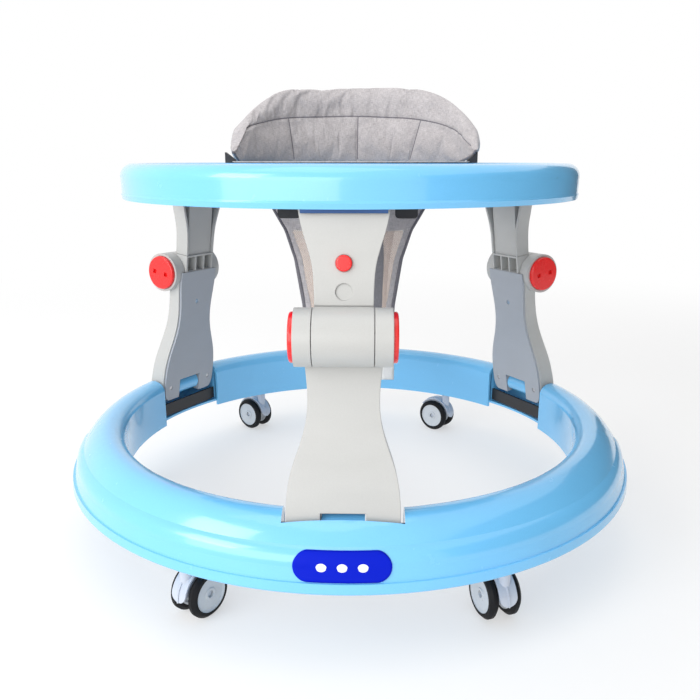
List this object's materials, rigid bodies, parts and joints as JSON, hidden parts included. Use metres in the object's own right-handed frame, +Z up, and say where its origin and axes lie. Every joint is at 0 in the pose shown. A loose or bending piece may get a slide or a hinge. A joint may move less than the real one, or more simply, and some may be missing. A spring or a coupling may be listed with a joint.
{
  "type": "baby walker",
  "caption": "Folding round baby walker: ring base on twin-wheel casters, three jointed telescopic legs, round tray and a fabric seat with padded backrest.",
  "frame": {"origin": "on the floor under the centre of the round base ring", "axes": "+Z up; the front leg stands towards -Y and the backrest towards +Y; +X to the right seen from the front"},
  "size_m": [0.67, 0.6799, 0.535],
  "materials": {
    "blue_plastic": "gloss",
    "dark_blue_plastic": "satin",
    "white_plastic": "satin",
    "grey_plastic": "satin",
    "red_plastic": "gloss",
    "black_plastic": "matte",
    "smoke_plastic": "gloss",
    "tyre": "matte",
    "steel": "satin",
    "black_steel": "satin",
    "grey_fabric": "melange weave",
    "board": "matte"
  },
  "bodies": {
    "base": {"base_shell": "blue_plastic", "base_rim": "blue_plastic", "leg_straps": "black_steel", "caster_sockets": "black_plastic", "base_hinge_pins": "steel", "base_screws": "steel"},
    "tray": {"tray_shell": "blue_plastic", "tray_underside": "dark_blue_plastic", "tray_hinge_pins": "steel", "seat_sling": "grey_fabric", "backrest_plate": "board", "backrest_pad": "grey_fabric", "seat_clips": "black_plastic"},
    "lower_leg_front": {"lower_leg_front": "white_plastic", "leg_panel_front": "grey_plastic", "leg_screws_front": "steel", "knee_pin_front": "steel"},
    "knee_bar_front": {"knee_bar_front": "white_plastic"},
    "sleeve_front": {"sleeve_front": "white_plastic"},
    "height_button_front": {"height_button_front": "red_plastic"},
    "knee_button_front_a": {"knee_button_front_a": "red_plastic"},
    "knee_button_front_b": {"knee_button_front_b": "red_plastic"},
    "lower_leg_rear_right": {"lower_leg_rear_right": "white_plastic", "leg_panel_rear_right": "grey_plastic", "leg_screws_rear_right": "steel", "knee_pin_rear_right": "steel"},
    "knee_bar_rear_right": {"knee_bar_rear_right": "white_plastic"},
    "sleeve_rear_right": {"sleeve_rear_right": "white_plastic"},
    "height_button_rear_right": {"height_button_rear_right": "red_plastic"},
    "knee_button_rear_right_a": {"knee_button_rear_right_a": "red_plastic"},
    "knee_button_rear_right_b": {"knee_button_rear_right_b": "red_plastic"},
    "lower_leg_rear_left": {"lower_leg_rear_left": "white_plastic", "leg_panel_rear_left": "grey_plastic", "leg_screws_rear_left": "steel", "knee_pin_rear_left": "steel"},
    "knee_bar_rear_left": {"knee_bar_rear_left": "white_plastic"},
    "sleeve_rear_left": {"sleeve_rear_left": "white_plastic"},
    "height_button_rear_left": {"height_button_rear_left": "red_plastic"},
    "knee_button_rear_left_a": {"knee_button_rear_left_a": "red_plastic"},
    "knee_button_rear_left_b": {"knee_button_rear_left_b": "red_plastic"},
    "caster_front_left": {"caster_yoke_front_left": "smoke_plastic"},
    "wheel_front_left_a": {"wheel_front_left_a": "tyre"},
    "wheel_front_left_b": {"wheel_front_left_b": "tyre"},
    "caster_front_right": {"caster_yoke_front_right": "smoke_plastic"},
    "wheel_front_right_a": {"wheel_front_right_a": "tyre"},
    "wheel_front_right_b": {"wheel_front_right_b": "tyre"},
    "caster_mid_left": {"caster_yoke_mid_left": "smoke_plastic"},
    "wheel_mid_left_a": {"wheel_mid_left_a": "tyre"},
    "wheel_mid_left_b": {"wheel_mid_left_b": "tyre"},
    "caster_mid_right": {"caster_yoke_mid_right": "smoke_plastic"},
    "wheel_mid_right_a": {"wheel_mid_right_a": "tyre"},
    "wheel_mid_right_b": {"wheel_mid_right_b": "tyre"},
    "caster_rear_left": {"caster_yoke_rear_left": "smoke_plastic"},
    "wheel_rear_left_a": {"wheel_rear_left_a": "tyre"},
    "wheel_rear_left_b": {"wheel_rear_left_b": "tyre"},
    "caster_rear_right": {"caster_yoke_rear_right": "smoke_plastic"},
    "wheel_rear_right_a": {"wheel_rear_right_a": "tyre"},
    "wheel_rear_right_b": {"wheel_rear_right_b": "tyre"}
  },
  "joints": [
    {"name": "fold_front", "type": "hinge", "parent": "base", "child": "lower_leg_front", "pos_m": [0, -0.2915, 0.116], "axis": [1, 0, 0], "range_deg": [-70, 0], "deforming": ["seat_sling"]},
    {"name": "fold_rear_right", "type": "hinge", "parent": "base", "child": "lower_leg_rear_right", "pos_m": [0.25245, 0.14575, 0.116], "axis": [-0.5, 0.866, 0], "range_deg": [-70, 0]},
    {"name": "fold_rear_left", "type": "hinge", "parent": "base", "child": "lower_leg_rear_left", "pos_m": [-0.25245, 0.14575, 0.116], "axis": [-0.5, -0.866, 0], "range_deg": [-70, 0]},
    {"name": "knee_front", "type": "hinge", "parent": "lower_leg_front", "child": "knee_bar_front", "pos_m": [0, -0.275, 0.2875], "axis": [1, 0, 0], "range_deg": [0, 163.1]},
    {"name": "knee_rear_right", "type": "hinge", "parent": "lower_leg_rear_right", "child": "knee_bar_rear_right", "pos_m": [0.23816, 0.1375, 0.2875], "axis": [-0.5, 0.866, 0], "range_deg": [0, 163.1]},
    {"name": "knee_rear_left", "type": "hinge", "parent": "lower_leg_rear_left", "child": "knee_bar_rear_left", "pos_m": [-0.23816, 0.1375, 0.2875], "axis": [-0.5, -0.866, 0], "range_deg": [0, 163.1]},
    {"name": "height_front", "type": "slide", "parent": "knee_bar_front", "child": "sleeve_front", "axis": [0, 0, 1], "range_m": [0, 0.025]},
    {"name": "height_rear_right", "type": "slide", "parent": "knee_bar_rear_right", "child": "sleeve_rear_right", "axis": [0, 0, 1], "range_m": [0, 0.025]},
    {"name": "height_rear_left", "type": "slide", "parent": "knee_bar_rear_left", "child": "sleeve_rear_left", "axis": [0, 0, 1], "range_m": [0, 0.025]},
    {"name": "tray_tilt", "type": "hinge", "parent": "sleeve_front", "child": "tray", "pos_m": [0, -0.24129, 0.40407], "axis": [1, 0, 0], "range_deg": [-93.1, 0]},
    {"name": "lock_button_front", "type": "slide", "parent": "sleeve_front", "child": "height_button_front", "axis": [0, 0.9912, -0.1323], "range_m": [0, 0.003], "stiffness_N_per_m": 600, "springref_m": -0.002},
    {"name": "release_front_a", "type": "slide", "parent": "lower_leg_front", "child": "knee_button_front_a", "axis": [1, 0, 0], "range_m": [0, 0.003], "stiffness_N_per_m": 600, "springref_m": -0.002},
    {"name": "release_front_b", "type": "slide", "parent": "lower_leg_front", "child": "knee_button_front_b", "axis": [-1, 0, 0], "range_m": [0, 0.003], "stiffness_N_per_m": 600, "springref_m": -0.002},
    {"name": "lock_button_rear_right", "type": "slide", "parent": "sleeve_rear_right", "child": "height_button_rear_right", "axis": [-0.8584, -0.4956, -0.1323], "range_m": [0, 0.003], "stiffness_N_per_m": 600, "springref_m": -0.002},
    {"name": "release_rear_right_a", "type": "slide", "parent": "lower_leg_rear_right", "child": "knee_button_rear_right_a", "axis": [-0.5, 0.866, 0], "range_m": [0, 0.003], "stiffness_N_per_m": 600, "springref_m": -0.002},
    {"name": "release_rear_right_b", "type": "slide", "parent": "lower_leg_rear_right", "child": "knee_button_rear_right_b", "axis": [0.5, -0.866, 0], "range_m": [0, 0.003], "stiffness_N_per_m": 600, "springref_m": -0.002},
    {"name": "lock_button_rear_left", "type": "slide", "parent": "sleeve_rear_left", "child": "height_button_rear_left", "axis": [0.8584, -0.4956, -0.1323], "range_m": [0, 0.003], "stiffness_N_per_m": 600, "springref_m": -0.002},
    {"name": "release_rear_left_a", "type": "slide", "parent": "lower_leg_rear_left", "child": "knee_button_rear_left_a", "axis": [-0.5, -0.866, 0], "range_m": [0, 0.003], "stiffness_N_per_m": 600, "springref_m": -0.002},
    {"name": "release_rear_left_b", "type": "slide", "parent": "lower_leg_rear_left", "child": "knee_button_rear_left_b", "axis": [0.5, 0.866, 0], "range_m": [0, 0.003], "stiffness_N_per_m": 600, "springref_m": -0.002},
    {"name": "swivel_front_left", "type": "hinge", "parent": "base", "child": "caster_front_left", "pos_m": [-0.1535, -0.26587, 0.0245], "axis": [0, 0, 1], "continuous": true},
    {"name": "wheel_front_left_a", "type": "hinge", "parent": "caster_front_left", "child": "wheel_front_left_a", "pos_m": [-0.14455, -0.25261, 0.0245], "axis": [-0.829, 0.5592, 0], "continuous": true},
    {"name": "wheel_front_left_b", "type": "hinge", "parent": "caster_front_left", "child": "wheel_front_left_b", "pos_m": [-0.14455, -0.25261, 0.0245], "axis": [-0.829, 0.5592, 0], "continuous": true},
    {"name": "swivel_front_right", "type": "hinge", "parent": "base", "child": "caster_front_right", "pos_m": [0.1535, -0.26587, 0.0245], "axis": [0, 0, 1], "continuous": true},
    {"name": "wheel_front_right_a", "type": "hinge", "parent": "caster_front_right", "child": "wheel_front_right_a", "pos_m": [0.14803, -0.25083, 0.0245], "axis": [-0.9397, -0.342, 0], "continuous": true},
    {"name": "wheel_front_right_b", "type": "hinge", "parent": "caster_front_right", "child": "wheel_front_right_b", "pos_m": [0.14803, -0.25083, 0.0245], "axis": [-0.9397, -0.342, 0], "continuous": true},
    {"name": "swivel_mid_left", "type": "hinge", "parent": "base", "child": "caster_mid_left", "pos_m": [-0.307, 0, 0.0245], "axis": [0, 0, 1], "continuous": true},
    {"name": "wheel_mid_left_a", "type": "hinge", "parent": "caster_mid_left", "child": "wheel_mid_left_a", "pos_m": [-0.30978, 0.01576, 0.0245], "axis": [-0.9848, -0.1736, 0], "continuous": true},
    {"name": "wheel_mid_left_b", "type": "hinge", "parent": "caster_mid_left", "child": "wheel_mid_left_b", "pos_m": [-0.30978, 0.01576, 0.0245], "axis": [-0.9848, -0.1736, 0], "continuous": true},
    {"name": "swivel_mid_right", "type": "hinge", "parent": "base", "child": "caster_mid_right", "pos_m": [0.307, 0, 0.0245], "axis": [0, 0, 1], "continuous": true},
    {"name": "wheel_mid_right_a", "type": "hinge", "parent": "caster_mid_right", "child": "wheel_mid_right_a", "pos_m": [0.31114, 0.01545, 0.0245], "axis": [-0.9659, 0.2588, 0], "continuous": true},
    {"name": "wheel_mid_right_b", "type": "hinge", "parent": "caster_mid_right", "child": "wheel_mid_right_b", "pos_m": [0.31114, 0.01545, 0.0245], "axis": [-0.9659, 0.2588, 0], "continuous": true},
    {"name": "swivel_rear_left", "type": "hinge", "parent": "base", "child": "caster_rear_left", "pos_m": [-0.1535, 0.26587, 0.0245], "axis": [0, 0, 1], "continuous": true},
    {"name": "wheel_rear_left_a", "type": "hinge", "parent": "caster_rear_left", "child": "wheel_rear_left_a", "pos_m": [-0.16628, 0.2755, 0.0245], "axis": [-0.6018, -0.7986, 0], "continuous": true},
    {"name": "wheel_rear_left_b", "type": "hinge", "parent": "caster_rear_left", "child": "wheel_rear_left_b", "pos_m": [-0.16628, 0.2755, 0.0245], "axis": [-0.6018, -0.7986, 0], "continuous": true},
    {"name": "swivel_rear_right", "type": "hinge", "parent": "base", "child": "caster_rear_right", "pos_m": [0.1535, 0.26587, 0.0245], "axis": [0, 0, 1], "continuous": true},
    {"name": "wheel_rear_right_a", "type": "hinge", "parent": "caster_rear_right", "child": "wheel_rear_right_a", "pos_m": [0.14072, 0.2755, 0.0245], "axis": [-0.6018, -0.7986, 0], "continuous": true},
    {"name": "wheel_rear_right_b", "type": "hinge", "parent": "caster_rear_right", "child": "wheel_rear_right_b", "pos_m": [0.14072, 0.2755, 0.0245], "axis": [-0.6018, -0.7986, 0], "continuous": true}
  ],
  "couplings": [
    {"joint": "knee_front", "follows": "fold_front", "ratio": -2.33},
    {"joint": "knee_rear_right", "follows": "fold_front", "ratio": -2.33},
    {"joint": "knee_rear_left", "follows": "fold_front", "ratio": -2.33},
    {"joint": "fold_rear_right", "follows": "fold_front", "ratio": 1},
    {"joint": "fold_rear_left", "follows": "fold_front", "ratio": 1},
    {"joint": "height_rear_right", "follows": "height_front", "ratio": 1},
    {"joint": "height_rear_left", "follows": "height_front", "ratio": 1},
    {"joint": "tray_tilt", "follows": "fold_front", "ratio": 1.33}
  ]
}
